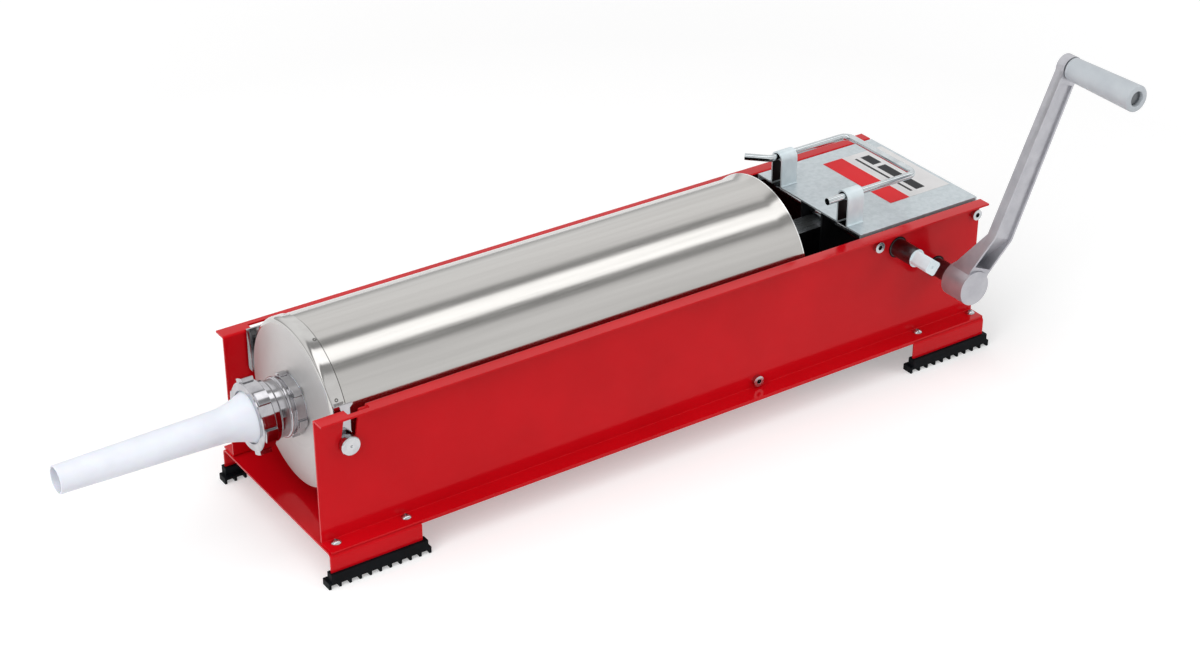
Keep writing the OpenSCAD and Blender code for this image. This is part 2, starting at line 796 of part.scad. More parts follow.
// The retaining ring that sits in that groove
module clip(x, z, r, y) {
    ring_y(x, z, r + clip_out, r - clip_depth + contact, y + 0.1, y + 0.1 + clip_width);
}

// How far the wider part of a shaft stands out of the wall
journal_out = 0.5;

main_clip_y = flange_face + hub_play;
reduction_clip_y = -wall_in + bush_flange_thickness + hub_play;

module main_shaft() {
    color("silver") difference() {
        union() {
            bar_y(crank_x, crank_z, shaft_r, -square_y, -wall_out);
            bar_y(crank_x, crank_z, journal_r, -wall_out - journal_out, -pinion_half);
            bar_y(crank_x, crank_z, seat_r, -pinion_half - 1, main_clip_y + 4);
            square_end(crank_x, crank_z, -crank_angle);
        }
        centre_mark(crank_x, crank_z);
        key_bar(crank_x, crank_z, journal_r, hub_start, hub_end, contact);
        key_bar(crank_x, crank_z, seat_r, -pinion_half + 2, pinion_half - 2, contact);
        clip_groove(crank_x, crank_z, seat_r, main_clip_y);
    }
}

module main_shaft_keys() {
    color("gray") {
        key_bar(crank_x, crank_z, journal_r, hub_start, hub_end);
        key_bar(crank_x, crank_z, seat_r, -pinion_half + 2, pinion_half - 2);
    }
}

module main_gear() {
    color("dimgray") difference() {
        union() {
            gear_y(crank_x, crank_z, gear_teeth, gear_y - gear_face / 2, gear_face, mesh_angle);
            bar_y(crank_x, crank_z, gear_hub_r, hub_start, hub_end);
        }
        bar_y(crank_x, crank_z, journal_r + contact, hub_start - cut, hub_end + cut);
        key_bar(crank_x, crank_z, journal_r, hub_start - cut, hub_end + cut, contact);
    }
}

module rack_pinion() {
    color("dimgray") difference() {
        union() {
            gear_y(crank_x, crank_z, pinion_teeth, -rack_width / 2, rack_width, 90);
            bar_y(crank_x, crank_z, pinion_r - dedendum, -pinion_half, pinion_half);
        }
        bar_y(crank_x, crank_z, seat_r + contact, -pinion_half - cut, pinion_half + cut);
        key_bar(crank_x, crank_z, seat_r, -pinion_half - cut, pinion_half + cut, contact);
    }
}

module main_clip() {
    color("gray") clip(crank_x, crank_z, seat_r, main_clip_y);
}

module reduction_shaft() {
    color("silver") difference() {
        union() {
            bar_y(reduction_x, reduction_z, shaft_r, -square_y, -wall_out);
            bar_y(reduction_x, reduction_z, journal_r, -wall_out - journal_out, seat_end);
            bar_y(reduction_x, reduction_z, seat_r, seat_end - 1, -pinion_half);
            square_end(reduction_x, reduction_z, free_square_turn);
        }
        centre_mark(reduction_x, reduction_z);
        key_bar(reduction_x, reduction_z, seat_r, seat_end + 2, seat_end + reduction_face, contact);
        clip_groove(reduction_x, reduction_z, journal_r, reduction_clip_y);
    }
}

module reduction_key() {
    color("gray") key_bar(reduction_x, reduction_z, seat_r, seat_end + 2, seat_end + reduction_face);
}

module reduction_clip() {
    color("gray") clip(reduction_x, reduction_z, journal_r, reduction_clip_y);
}

module reduction_pinion() {
    inner = -flange_face - hub_play;
    color("dimgray") difference() {
        union() {
            gear_y(reduction_x, reduction_z, pinion_teeth, seat_end, reduction_face,
                mesh_angle + 180 + 180 / pinion_teeth);
            bar_y(reduction_x, reduction_z, pinion_r - dedendum, seat_end, inner);
        }
        bar_y(reduction_x, reduction_z, seat_r + contact, seat_end - cut, inner + cut);
        key_bar(reduction_x, reduction_z, seat_r, seat_end - cut, inner + cut, contact);
    }
}

module cover_plate() {
    half = wall_in - cover_gap;
    color("#c3cbcd") {
        difference() {
            translate([cover_x, -half, cover_top - cover_sheet])
                cube([cover_length, 2 * half, cover_sheet]);
            for (side = [-1, 1])
                translate([cover_x - cut, side * bridge_y - bridge_r, cover_top - cover_sheet - cut])
                    cube([bridge_length + cut, bridge_width, cover_sheet + 2 * cut]);
        }
        both_sides() translate([cover_x, half - cover_sheet, cover_top - cover_lip])
            cube([cover_length, cover_sheet, cover_lip]);
    }
}

// Cross-section of a bridge about a bail leg, with the strip that carries the wire
module bridge_section() {
    outer = bridge_r + cover_sheet;
    difference() {
        union() {
            translate([-outer, cover_top]) square([2 * outer, bridge_arch_z - cover_top]);
            translate([-outer - bridge_foot, cover_top]) square([2 * (outer + bridge_foot), bridge_foot_h]);
            translate([0, bridge_arch_z]) circle(r = outer);
        }
        translate([-bridge_r, cover_top - cut]) square([bridge_width, bridge_arch_z - cover_top + cut]);
        translate([0, bridge_arch_z]) circle(r = bridge_r);
        translate([-2 * outer, cover_top - 4 * outer]) square([4 * outer, 4 * outer]);
    }
}

module bail_bridges() {
    strip = 1.5;
    strip_setback = 5;
    strip_top = bail_z - bail_r - bail_clear;
    color("#c3cbcd") for (side = [-1, 1]) {
        translate([cover_x, side * bridge_y, 0]) rotate([90, 0, 90])
            linear_extrude(bridge_length) bridge_section();
        translate([cover_x + strip_setback, side * bridge_y - bridge_r - 0.5, strip_top - strip])
            cube([bridge_length - strip_setback, bridge_width + 1, strip]);
    }
}

module label_panel() {
    label_x = cover_x + cover_length - 4 - label_length;
    color("white") translate([label_x, label_shift - label_width / 2, cover_top])
        cube([label_length, label_width, label_thickness]);
}

// A bend of the bail's wire about Z, starting on the X axis
module wire_bend(angle, r = bail_r) {
    rotate_extrude(angle = angle) translate([bail_bend_r, 0]) circle(r = r, $fn = 32);
}

module bail() {
    leg_back = bail_bar_x - bail_bend_r;
    far_front = cover_x - 3;
    near_front = cover_x - bail_near_out;
    turn = 45;
    bent_r = bail_r - contact;
    color("silver") translate([0, 0, bail_z]) {
        translate([near_front, -bail_y, 0]) rotate([0, 90, 0]) rotate(-90)
            cylinder(r = bail_r, h = leg_back - near_front);
        translate([far_front, bail_y, 0]) rotate([0, 90, 0]) rotate(90)
            cylinder(r = bail_r, h = leg_back - far_front);
        translate([bail_bar_x, -bail_y + bail_bend_r, 0]) rotate([-90, 0, 0])
            cylinder(r = bail_r, h = 2 * (bail_y - bail_bend_r));
        translate([leg_back, bail_y - bail_bend_r, 0]) wire_bend(90);
        translate([leg_back, -bail_y + bail_bend_r, 0]) rotate(-90) wire_bend(90);
        // The bent tail's end sits a little way inside the far leg
        translate([far_front, bail_y + bail_bend_r, 0]) rotate(-90 - turn) {
            wire_bend(turn + 1, bent_r);
            translate([bail_bend_r, 0, 0]) rotate([90, 0, 0]) cylinder(r = bent_r, h = bail_bent_tail);
        }
    }
}

module barrel_rest() {
    color("#e8e6df") difference() {
        translate([rest_x - rest_length / 2, -wall_in, base_top])
            cube([rest_length, 2 * wall_in, rest_height]);
        along_x(rest_x - rest_length) cylinder(r = barrel_r + 0.1, h = 2 * rest_length);
        both_sides() bar_y(rest_x, base_top + rest_screw_height, screw_r + contact,
            wall_in - screw_grip - 2, wall_in + cut);
    }
}

// Radius of the tube's outside at a distance behind the start of its flare
function flare_at(t) = barrel_r + rim_flare * pow(t, 2);

module barrel_tube() {
    steps = 8;
    flare_start = barrel_length - rim_flare_length;
    front = barrel_wall + cap_bead_r;
    ts = [for (i = [0 : steps]) i / steps];
    color("#b9b8b4") along_x(cap_x) rotate_extrude() polygon(concat(
        [[barrel_r, front]],
        [for (t = ts) [flare_at(t), flare_start + rim_flare_length * t]],
        [for (i = [steps : -1 : 0])
            [flare_at(ts[i]) - barrel_wall, flare_start + rim_flare_length * ts[i]]],
        [[barrel_r - barrel_wall, front]]));
}

module end_cap() {
    edge = cap_r - cap_bead_r;
    color("#b9b8b4") difference() {
        along_x(cap_x) rotate_extrude() polygon(concat(
            [[0, 0]],
            arc(edge, cap_bead_r, cap_bead_r, -90, 0, 8),
            [[cap_r, cap_skirt], [cap_r - barrel_wall, cap_skirt]],
            arc(edge, cap_bead_r, cap_bead_r - barrel_wall, 0, -90, 8),
            [[0, barrel_wall]]));
        along_x(cap_x - cut, spigot_z) cylinder(r = rear_thread_r + 0.1, h = barrel_wall + 2 * cut);
    }
}

module trunnion_lugs() {
    top = wall_top + lug_rise - trunnion_z;
    stem_depth = cap_r + 1 - sqrt(cap_r * cap_r - lug_stem * lug_stem / 4);
    color("#b9b8b4") both_sides() difference() {
        union() {
            translate([trunnion_x, lug_y + lug_thickness, trunnion_z]) rotate([90, 0, 0])
                linear_extrude(lug_thickness) {
                    polygon([[-lug_r, 0], [-lug_front, top - lug_tab], [-lug_front, top],
                        [lug_back, top], [lug_back, top - lug_ear], [lug_neck, top - 3 * lug_ear],
                        [lug_neck, 0]]);
                    circle(r = lug_r);
                }
            translate([trunnion_x, lug_y - stem_depth, axis_z - lug_stem / 2])
                cube([lug_neck, stem_depth, lug_stem]);
        }
        along_x(cap_x) cylinder(r = cap_r, h = cap_skirt + cut);
        bar_y(trunnion_x, trunnion_z, trunnion_r - 2, 0, wall_out);
    }
}

module trunnion_studs() {
    head_y = wall_out + 0.5;
    color("silver") both_sides() difference() {
        union() {
            bar_y(trunnion_x, trunnion_z, trunnion_r - 2 - contact, lug_y, head_y);
            bar_y(trunnion_x, trunnion_z, trunnion_r, lug_y + lug_thickness, head_y);
            along_y(trunnion_x, head_y, trunnion_z) rotate_extrude() polygon([
                [0, 0], [trunnion_head_r - 0.5, 0], [trunnion_head_r, 0.5],
                [trunnion_head_r, trunnion_head - 1], [trunnion_head_r - 1, trunnion_head],
                [0, trunnion_head]]);
        }
        along_y(trunnion_x, head_y + trunnion_head - 1.5, trunnion_z) cylinder(r1 = 0.3, r2 = 1.6, h = 1.6);
    }
}

module spigot() {
    collar_front = gasket_h + collar_length;
    collar_r = thread_r - 0.5;
    // Distance behind the spigot's front end of a place so far in front of the cap
    function at(offset) = cap_x - offset - spigot_front_x;
    color("#b4b5b3") {
        along_x(spigot_front_x, spigot_z) rotate_extrude() polygon(concat(
            [[spigot_bore_r, 0], [thread_r - 1, 0], [thread_r, 1], [thread_r, at(thread_end)],
             [neck_r, at(thread_end) + thread_r - neck_r]],
            arc(neck_r, at(neck_bead), bead_r, -90, 90, 8),
            [[neck_r - neck_groove, at(neck_bead) + bead_r], [neck_r - neck_groove, at(collar_front)],
             [collar_r, at(collar_front)], [collar_r, at(gasket_h)],
             [rear_thread_r, at(gasket_h)], [rear_thread_r, at(-back_thread)],
             [spigot_bore_r, at(-back_thread)]]));
        along_x(cap_x - collar_front + 0.5, spigot_z) for (i = [0 : 5])
            rotate(collar_lug_turn + 60 * i) intersection() {
                difference() {
                    cylinder(r = collar_r + 2.5, h = collar_length - 1);
                    translate([0, 0, -cut]) cylinder(r = collar_r - 0.5, h = collar_length + cut);
                }
                translate([0, -4, -cut]) cube([2 * thread_r, 8, collar_length + 2 * cut]);
            }
    }
}

module spigot_gasket() {
    color("#2a2a2a") along_x(cap_x - gasket_h, spigot_z) difference() {
        cylinder(r = neck_r, h = gasket_h);
        translate([0, 0, -cut]) cylinder(r = rear_thread_r + contact, h = gasket_h + 2 * cut);
    }
}

module spigot_back_nut() {
    color("#b4b5b3") along_x(cap_x + barrel_wall, spigot_z) difference() {
        cylinder(r = thread_r + 2, h = back_nut_h);
        translate([0, 0, -cut]) cylinder(r = rear_thread_r + contact, h = back_nut_h + 2 * cut);
        for (i = [0 : 3]) rotate(90 * i) translate([thread_r, -3, -cut]) cube([6, 6, back_nut_h + 2 * cut]);
    }
}

module ring_nut() {
    chamfer = 1;
    mouth_r = funnel_root_r + 2 * nut_gap;
    inner_r = thread_r + nut_gap;
    color("#b4b5b3") along_x(nut_front_x, spigot_z) {
        rotate_extrude() polygon([
            [mouth_r, 0], [nut_r - chamfer, 0], [nut_r, chamfer], [nut_r, nut_length - chamfer],
            [nut_r - chamfer, nut_length], [inner_r, nut_length], [inner_r, nut_lip], [mouth_r, nut_lip]]);
        for (i = [0 : nut_lugs - 1]) rotate(nut_lug_turn + i * 360 / nut_lugs) intersection() {
            translate([0, 0, 1.5 * chamfer]) cylinder(r = nut_lug_r, h = nut_length - 3 * chamfer);
            translate([nut_r - 2, -nut_lug_width / 2, 0]) cube([nut_lug_r, nut_lug_width, nut_length]);
        }
    }
}

// Outer radius of the funnel along its flare
function flare_r(t) = funnel_mid_r + (funnel_root_r - funnel_mid_r) * pow(t, 1.6);

module funnel() {
    steps = 10;
    ts = [for (i = [0 : steps]) i / steps];
    root = funnel_cone + funnel_flare;
    color("white") along_x(funnel_flange_x - root, spigot_z) rotate_extrude() polygon(concat(
        [[funnel_tip_r - funnel_wall, 0], [funnel_tip_r, 0]],
        [for (t = ts) [flare_r(t), funnel_cone + funnel_flare * t]],
        [[thread_r, root], [thread_r, root + funnel_flange],
         [flare_r(1) - funnel_wall, root + funnel_flange]],
        [for (i = [steps : -1 : 0]) [flare_r(ts[i]) - funnel_wall, funnel_cone + funnel_flare * ts[i]]]));
}

seal_x = piston_x + (piston_disc_h - seal_width) / 2;
disc_r = barrel_r - barrel_wall - piston_side_gap;
seal_r = barrel_r - barrel_wall - seal_gap;
bolt_recess = 9;
bolt_grip = 30;

module piston_disc() {
    color("white") difference() {
        along_x(piston_x) cylinder(r = disc_r, h = piston_disc_h);
        along_x(seal_x) difference() {
            cylinder(r = barrel_r, h = seal_width);
            translate([0, 0, -cut]) cylinder(r = disc_r - seal_depth, h = seal_width + 2 * cut);
        }
        along_x(piston_x - cut) cylinder(r = 2.4 * piston_bolt_r, h = bolt_recess + cut);
        along_x(piston_x) cylinder(r = piston_bolt_r + contact, h = piston_disc_h + cut);
    }
}

module piston_seal() {
    color("#d8d8d8") along_x(seal_x) rotate_extrude() translate([disc_r - seal_depth + contact, contact])
        polygon([[0, 0], [seal_depth, 0], [seal_depth + disc_gap(), 1.5],
            [seal_depth + disc_gap(), seal_width - 1.5], [seal_depth, seal_width - 2 * contact],
            [0, seal_width - 2 * contact]]);
}

// How far the seal stands out of the disc
function disc_gap() = seal_r - disc_r - contact;

module piston_back_plate() {
    color("silver") along_x(piston_x + piston_disc_h) difference() {
        cylinder(r = back_plate_r, h = back_plate_h);
        translate([0, 0, -cut]) cylinder(r = piston_bolt_r + contact, h = back_plate_h + 2 * cut);
    }
}

module piston_bolt() {
    color("silver") {
        along_x(piston_x + bolt_recess - 7.5) rotate(30)
            cylinder(r = 1.8 * piston_bolt_r, h = 7.5, $fn = 6);
        along_x(piston_x + bolt_recess - 1) cylinder(r = piston_bolt_r,
            h = piston_disc_h - bolt_recess + 1 + back_plate_h + bolt_grip);
    }
}

module rack() {
    teeth_front = crank_x - stroke - 4 * tooth_pitch;
    first = ceil((teeth_front - crank_x) / tooth_pitch);
    last = floor((rack_back - crank_x) / tooth_pitch) - 1;
    root_z = pitch_line + dedendum;
    tip_z = pitch_line - addendum;
    lean = tan(pressure_angle);
    half_root = tooth_pitch / 4 - backlash + dedendum * lean;
    half_tip = tooth_pitch / 4 - backlash - addendum * lean;
    start_x = crank_x + first * tooth_pitch;
    color("#8d9194") difference() {
        translate([0, rack_width / 2, 0]) rotate([90, 0, 0]) linear_extrude(rack_width) polygon(concat(
            [[rack_back, root_z], [rack_back, rack_top], [piston_back_x, rack_top],
             [piston_back_x, tip_z], [start_x - 2, tip_z], [start_x - 2, root_z]],
            [for (i = [first : last]) let (x = crank_x + (i + 0.5) * tooth_pitch)
                each [[x - half_root, root_z], [x - half_tip, tip_z],
                      [x + half_tip, tip_z], [x + half_root, root_z]]]));
        along_x(piston_back_x - cut) cylinder(r = piston_bolt_r + contact, h = bolt_grip + 5 + cut);
    }
}

grip_x = crank_x + crank_length * cos(crank_angle);
grip_z = crank_z + crank_length * sin(crank_angle);
grip_y0 = arm_front_y + 1;
grip_end_y = grip_y0 + grip_length;

// The arm's frame: X runs from the hub to the grip, Y as the object's Y, Z across the arm
module in_arm_frame() {
    translate([crank_x, 0, crank_z]) rotate([0, -crank_angle, 0]) children();
}

module crank_arm() {
    slope_start = 10;
    channel_start = hub_r + 4;
    channel_end = crank_length - grip_base_r - 5;
    tip_half = arm_width_tip / 2;
    hub_half = arm_width_hub / 2;
    web_back = (arm_back_y - hub_back_y) / (arm_bend_end - slope_start);
    floor_y = arm_front_y - arm_channel;
    color("#a9abae") difference() {
        union() {
            bar_y(crank_x, crank_z, hub_r, -hub_front_y, -hub_back_y);
            in_arm_frame() intersection() {
                linear_extrude(2 * arm_width_hub, center = true) polygon([
                    [0, -hub_back_y], [slope_start, -hub_back_y], [arm_bend_end, -arm_back_y],
                    [crank_length, -arm_back_y], [crank_length, -arm_front_y],
                    [arm_bend_end, -arm_front_y], [hub_r - 2, -hub_front_y + 2], [0, -hub_front_y + 2]]);
                rotate([90, 0, 0]) translate([0, 0, hub_back_y - cut]) linear_extrude(2 * arm_front_y)
                    polygon([[0, -hub_half], [crank_length, -tip_half], [crank_length, tip_half],
                        [0, hub_half]]);
            }
            bar_y(grip_x, grip_z, grip_base_r + 0.7, -arm_front_y, -arm_back_y);
        }
        in_arm_frame() intersection() {
            linear_extrude(2 * arm_width_hub, center = true) polygon([
                [channel_start, -arm_front_y - cut], [channel_end, -arm_front_y - cut],
                [channel_end, -floor_y], [arm_bend_end, -floor_y],
                [channel_start, -hub_back_y - web_back * (channel_start - slope_start) - 5]]);
            rotate([90, 0, 0]) linear_extrude(2 * arm_front_y) polygon([
                [0, arm_rib - hub_half], [crank_length, arm_rib - tip_half],
                [crank_length, tip_half - arm_rib], [0, hub_half - arm_rib]]);
        }
        square_end(crank_x, crank_z, -crank_angle, 0.1);
        bar_y(crank_x, crank_z, shaft_r + 0.1, -square_y - 0.3, -hub_back_y + cut);
        bar_y(grip_x, grip_z, spindle_r + contact, -arm_front_y - cut, -arm_back_y + cut);
    }
}

module grip_spindle() {
    color("gray") {
        bar_y(grip_x, grip_z, spindle_r, -grip_end_y + 8, -arm_back_y);
        bar_y(grip_x, grip_z, spindle_r + 2, -grip_end_y + 4, -grip_end_y + 8 + contact);
    }
}

module crank_grip() {
    color("#c9ced2") difference() {
        along_y(grip_x, -grip_end_y, grip_z) rotate_extrude() polygon([
            [0, 0], [grip_end_r - 1.5, 0], [grip_end_r - 0.4, 0.5], [grip_end_r, 1.8],
            [grip_base_r, grip_length], [0, grip_length]]);
        bar_y(grip_x, grip_z, spindle_r + shaft_gap, -grip_end_y - cut, -grip_y0 + cut);
        bar_y(grip_x, grip_z, 8, -grip_end_y - cut, -grip_end_y + 8 + 0.3);
    }
}

side_wall_near();
side_wall_far();
base_plate();
foot_front_near();
foot_front_far();
foot_rear_near();
foot_rear_far();
flange_screws();
flange_nuts();
side_screws();
tie_rods();
gearbox_plate_near();
gearbox_plate_far();
wall_bushes();
plate_bushes();
cover_plate();
bail_bridges();
label_panel();
bail();
barrel_rest();
barrel_tube();
end_cap();
trunnion_lugs();
trunnion_studs();
spigot();
spigot_gasket();
spigot_back_nut();
ring_nut();
funnel();
piston_disc();
piston_seal();
piston_back_plate();
piston_bolt();
rack();
main_shaft();
main_shaft_keys();
main_gear();
rack_pinion();
main_clip();
reduction_shaft();
reduction_key();
reduction_clip();
reduction_pinion();
crank_arm();
grip_spindle();
crank_grip();
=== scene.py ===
import json
import math

import bmesh
import bpy
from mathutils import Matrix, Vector


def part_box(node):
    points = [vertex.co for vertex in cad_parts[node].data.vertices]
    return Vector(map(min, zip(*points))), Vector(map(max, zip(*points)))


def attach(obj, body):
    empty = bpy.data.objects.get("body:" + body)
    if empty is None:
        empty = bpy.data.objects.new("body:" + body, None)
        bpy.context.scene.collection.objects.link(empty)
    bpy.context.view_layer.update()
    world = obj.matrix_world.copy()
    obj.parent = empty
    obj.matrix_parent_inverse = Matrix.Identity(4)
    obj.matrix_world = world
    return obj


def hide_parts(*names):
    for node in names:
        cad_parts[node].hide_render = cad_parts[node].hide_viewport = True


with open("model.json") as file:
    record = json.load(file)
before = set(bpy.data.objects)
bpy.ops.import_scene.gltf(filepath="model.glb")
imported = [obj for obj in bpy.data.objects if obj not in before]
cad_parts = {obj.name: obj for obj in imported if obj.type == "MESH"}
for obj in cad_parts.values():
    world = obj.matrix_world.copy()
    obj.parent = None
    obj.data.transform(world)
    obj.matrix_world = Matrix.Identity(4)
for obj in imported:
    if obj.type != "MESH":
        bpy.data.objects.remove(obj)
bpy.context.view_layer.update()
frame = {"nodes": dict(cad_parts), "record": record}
nodes = frame["nodes"]
print("frame loaded")

mmPerMetre = 1000

# What all the noises share: octaves, the part of each noise's range that is used, the smoothest
# surface that is ever given, and a bump's height as a share of its grain
noiseShape = {
    "detail": 3.0, "ringDetail": 2.0, "cloudEdges": (0.35, 0.65), "grainEdges": (0.3, 0.7),
    "smoothest": 0.02, "bumpShare": 0.1,
    # Two noises round a half multiply to about a quarter, so their product is doubled
    "productGain": 2.0,
}


def linearColour(code):
    # sRGB hex to the linear numbers that the shaders take
    parts = [int(code[i:i + 2], 16) / 255 for i in (1, 3, 5)]
    linear = [c / 12.92 if c <= 0.04045 else ((c + 0.055) / 1.055) ** 2.4 for c in parts]
    return (*linear, 1.0)


def addNode(tree, kind, links=None, **settings):
    # links: input name or number -> a plain value or another node's output
    node = tree.nodes.new(kind)
    for name, value in settings.items():
        setattr(node, name, value)
    for name, value in (links or {}).items():
        if isinstance(value, bpy.types.NodeSocket):
            tree.links.new(value, node.inputs[name])
        else:
            node.inputs[name].default_value = value
    return node


def maths(tree, operation, *inputs):
    return addNode(tree, "ShaderNodeMath", dict(enumerate(inputs)), operation=operation).outputs[0]


def vectorMaths(tree, operation, *inputs):
    return addNode(tree, "ShaderNodeVectorMath", dict(enumerate(inputs)), operation=operation)


def remapped(tree, value, edges, results=(0.0, 1.0), kind="LINEAR"):
    # The value moved from one range to another and held at both ends
    return addNode(tree, "ShaderNodeMapRange", {
        "Value": value, "From Min": edges[0], "From Max": edges[1],
        "To Min": results[0], "To Max": results[1]}, interpolation_type=kind).outputs["Result"]


def noiseAt(tree, place, sizeMm, detail):
    return addNode(tree, "ShaderNodeTexNoise", {
        "Vector": place, "Scale": mmPerMetre / sizeMm, "Detail": detail}).outputs["Fac"]


def mixedColour(tree, share, socket, code):
    # The socket's colour where share is 0, the hex colour where it is 1
    return addNode(tree, "ShaderNodeMix", {0: share, 6: socket, 7: linearColour(code)},
                   data_type="RGBA").outputs[2]


def stepBetween(tree, value, low, high):
    # 1 where the value lies between the two
    above = maths(tree, "GREATER_THAN", value, low)
    below = maths(tree, "LESS_THAN", value, high)
    return maths(tree, "MULTIPLY", above, below)


def startMaterial(name, values):
    # The uniform numbers go straight onto the shader
    material = bpy.data.materials.new(name)
    material.use_nodes = True
    tree = material.node_tree
    shader = tree.nodes["Principled BSDF"]
    shader.inputs["Base Color"].default_value = linearColour(values["colour"])
    shader.inputs["Metallic"].default_value = values["metallic"]
    shader.inputs["Roughness"].default_value = values["roughness"]
    for key, socket in (("ior", "IOR"), ("specular", "Specular IOR Level"),
                        ("scatter", "Subsurface Weight"), ("scatterScale", "Subsurface Scale")):
        if key in values:
            shader.inputs[socket].default_value = values[key]
    if "specularTint" in values:
        shader.inputs["Specular Tint"].default_value = linearColour(values["specularTint"])
    place = addNode(tree, "ShaderNodeTexCoord").outputs["Object"]
    return material, tree, shader, place


def cloudedColour(tree, place, values):
    # Slow change between two close colours, as in any real coat or sheet
    cloud = noiseAt(tree, place, values["cloudMm"], noiseShape["detail"])
    spread = remapped(tree, cloud, noiseShape["cloudEdges"])
    return addNode(tree, "ShaderNodeMix", {
        0: spread, 6: linearColour(values["shade"]), 7: linearColour(values["colour"])},
        data_type="RGBA").outputs[2]


def grainedRoughness(tree, height, values):
    # Rougher where the grain stands up
    low = max(values["roughness"] - values["roughSpread"], noiseShape["smoothest"])
    high = values["roughness"] + values["roughSpread"]
    return remapped(tree, height, noiseShape["grainEdges"], (low, high))


def addBump(tree, shader, height, sizeMm, values):
    bump = addNode(tree, "ShaderNodeBump", {
        "Height": height, "Strength": values["bump"],
        "Distance": sizeMm * noiseShape["bumpShare"] / mmPerMetre})
    tree.links.new(bump.outputs["Normal"], shader.inputs["Normal"])


def grainedMaterial(name, values):
    # Noise of the stated grain size, stretched where the surface was brushed or drawn
    material, tree, shader, place = startMaterial(name, values)
    stretched = addNode(tree, "ShaderNodeMapping", {
        "Vector": place, "Scale": values.get("stretch", (1, 1, 1))}).outputs["Vector"]
    grain = noiseAt(tree, stretched, values["grainMm"], noiseShape["detail"])
    tree.links.new(grainedRoughness(tree, grain, values), shader.inputs["Roughness"])
    tree.links.new(cloudedColour(tree, stretched, values), shader.inputs["Base Color"])
    addBump(tree, shader, grain, values["grainMm"], values)
    return material, tree, shader, place


def turnedMaterial(name, values):
    # Fine rings round an axis along X, left by the lathe or the spinning roller
    material, tree, shader, place = startMaterial(name, values)
    centred = vectorMaths(tree, "SUBTRACT", place, values["axisPoint"]).outputs[0]
    flattened = vectorMaths(tree, "MULTIPLY", centred, (0, 1, 1)).outputs[0]
    radius = vectorMaths(tree, "LENGTH", flattened).outputs["Value"]
    along = addNode(tree, "ShaderNodeSeparateXYZ", {0: centred}).outputs["X"]
    wobble = noiseAt(tree, place, values["cloudMm"], noiseShape["ringDetail"])
    rings = addNode(tree, "ShaderNodeTexNoise", {
        "W": maths(tree, "ADD", radius, along), "Scale": mmPerMetre / values["ringMm"],
        "Detail": noiseShape["ringDetail"]}, noise_dimensions="1D").outputs["Fac"]
    product = maths(tree, "MULTIPLY", rings, wobble)
    grain = maths(tree, "MULTIPLY", product, noiseShape["productGain"])
    tree.links.new(grainedRoughness(tree, grain, values), shader.inputs["Roughness"])
    tree.links.new(cloudedColour(tree, place, values), shader.inputs["Base Color"])
    addBump(tree, shader, rings, values["ringMm"], values)
    return material, tree, shader, place


# Red stove enamel on folded steel: saturated and glossy, with a faint orange peel that softens
# what it mirrors. Inside the gearbox bay it is darkened almost to black: painted shade under the
# cover
redEnamel = {
    "colour": "#CB0A17", "shade": "#C10814", "metallic": 0.0, "roughness": 0.14,
    "roughSpread": 0.03, "ior": 1.5, "specular": 0.42, "specularTint": "#FF7070",
    "cloudMm": 90, "grainMm": 2.4, "bump": 0.05,
    # The painted shade grows from the first place to the second along X, on faces within insideMm
    # of the middle plane
    "bayShadeRed": "#2A0507", "bayMm": (150, 215), "insideMm": 90.6,
}


def makeEnamel(values):
    material, tree, shader, place = grainedMaterial("redStoveEnamel", values)
    spot = addNode(tree, "ShaderNodeSeparateXYZ", {0: place})
    bayEdges = [edge / mmPerMetre for edge in values["bayMm"]]
    # Painted shade: the paint darkens toward the back of the gearbox bay, on the walls' inner faces
    depth = remapped(tree, spot.outputs["X"], bayEdges, kind="SMOOTHSTEP")
    side = maths(tree, "ABSOLUTE", spot.outputs["Y"])
    inside = maths(tree, "LESS_THAN", side, values["insideMm"] / mmPerMetre)
    bayShade = maths(tree, "MULTIPLY", depth, inside)
    paint = shader.inputs["Base Color"].links[0].from_socket
    bayShaded = mixedColour(tree, bayShade, paint, values["bayShadeRed"])
    tree.links.new(bayShaded, shader.inputs["Base Color"])
    return material


# Stainless sheet, brushed lengthwise: a soft satin that draws the studio into long bands
barrelSteel = {
    "colour": "#C4C2BF", "shade": "#BAB8B5", "metallic": 1.0, "roughness": 0.14,
    "roughSpread": 0.04, "cloudMm": 14, "grainMm": 1.4, "stretch": (0.03, 1, 1), "bump": 0.05,
    # Along X: the joint behind the cap's skirt, and where the open rim begins
    "jointColour": "#4A4846", "jointMm": (-360.1, -359.0), "rimHighlightColour": "#F2F2F1", "rimMm": 171.0,
}


def makeBarrelSteel(values):
    # A thin dark line in the joint behind the cap's skirt, and a painted highlight on the open rim
    material, tree, shader, place = grainedMaterial("brushedStainless", values)
    along = addNode(tree, "ShaderNodeSeparateXYZ", {0: place}).outputs["X"]
    front, back = [edge / mmPerMetre for edge in values["jointMm"]]
    joint = stepBetween(tree, along, front, back)
    # Painted highlight: the rim's bright edge is made pale in the colour
    rim = maths(tree, "GREATER_THAN", along, values["rimMm"] / mmPerMetre)
    sheet = shader.inputs["Base Color"].links[0].from_socket
    jointLined = mixedColour(tree, joint, sheet, values["jointColour"])
    rimHighlighted = mixedColour(tree, rim, jointLined, values["rimHighlightColour"])
    tree.links.new(rimHighlighted, shader.inputs["Base Color"])
    return material


# Spun stainless, blasted on the face: even satin with the faintest rings
capSteel = {
    "colour": "#CDCCCB", "shade": "#C5C4C3", "metallic": 0.6, "roughness": 0.46,
    "roughSpread": 0.04, "cloudMm": 60, "ringMm": 3.0, "axisPoint": (0, 0, 0.133), "bump": 0.012,
}
